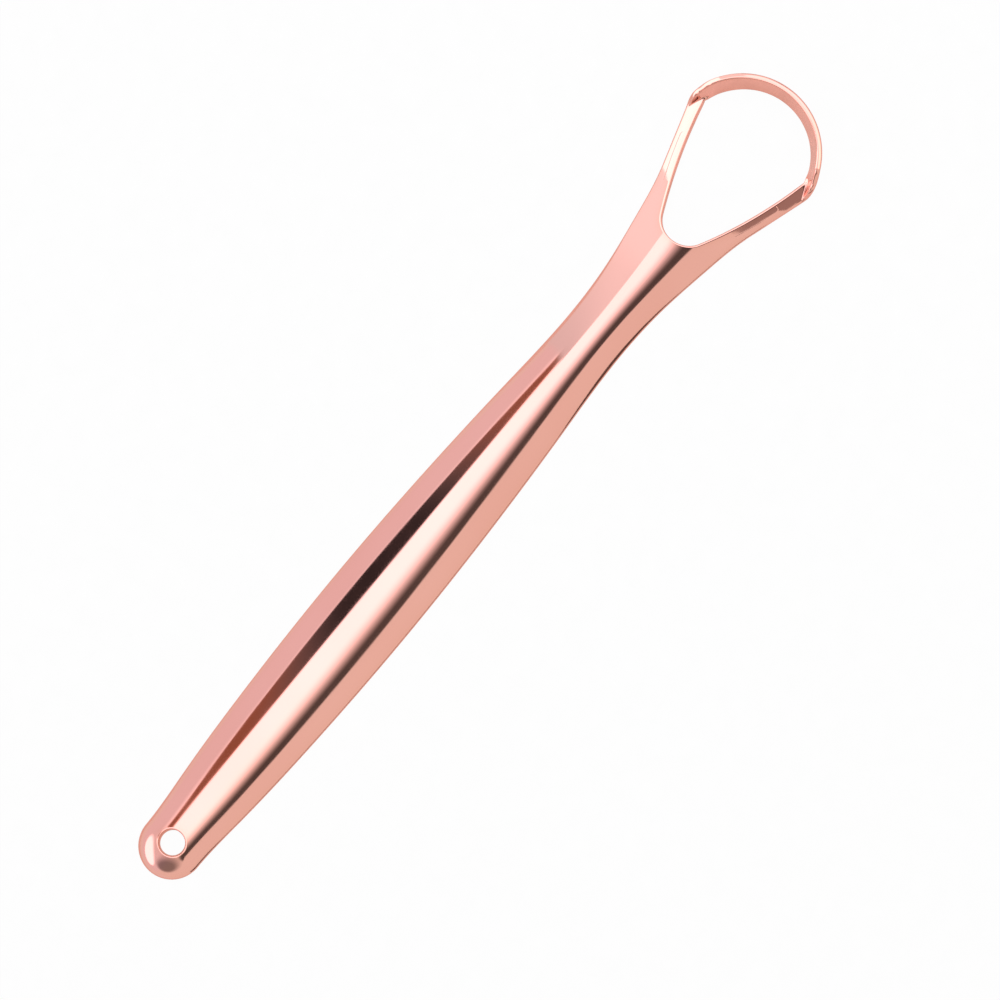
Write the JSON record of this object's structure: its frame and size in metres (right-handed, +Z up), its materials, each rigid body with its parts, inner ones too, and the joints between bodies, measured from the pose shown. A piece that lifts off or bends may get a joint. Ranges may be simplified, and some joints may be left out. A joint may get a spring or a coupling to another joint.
{
  "type": "tongue scraper",
  "caption": "Tongue scraper pressed from one sheet of steel: arched channel handle with a hanging hole, forked into a loop whose front arc is folded up as the scraping band.",
  "frame": {"origin": "under the middle of the part, on the surface that the rim of the handle rests on", "axes": "+X from the hanging end to the scraping band, +Y to the left arm, +Z up from the open underside to the crown"},
  "size_m": [0.148, 0.0234, 0.0041],
  "materials": {
    "rose_gold_plate": "stainless steel, mirror-polished and plated in rose gold"
  },
  "bodies": {
    "root": {"hanging_end": "rose_gold_plate", "handle_grip": "rose_gold_plate", "neck": "rose_gold_plate", "fork": "rose_gold_plate", "left_arm": "rose_gold_plate", "right_arm": "rose_gold_plate", "scraping_band": "rose_gold_plate"}
  },
  "joints": []
}
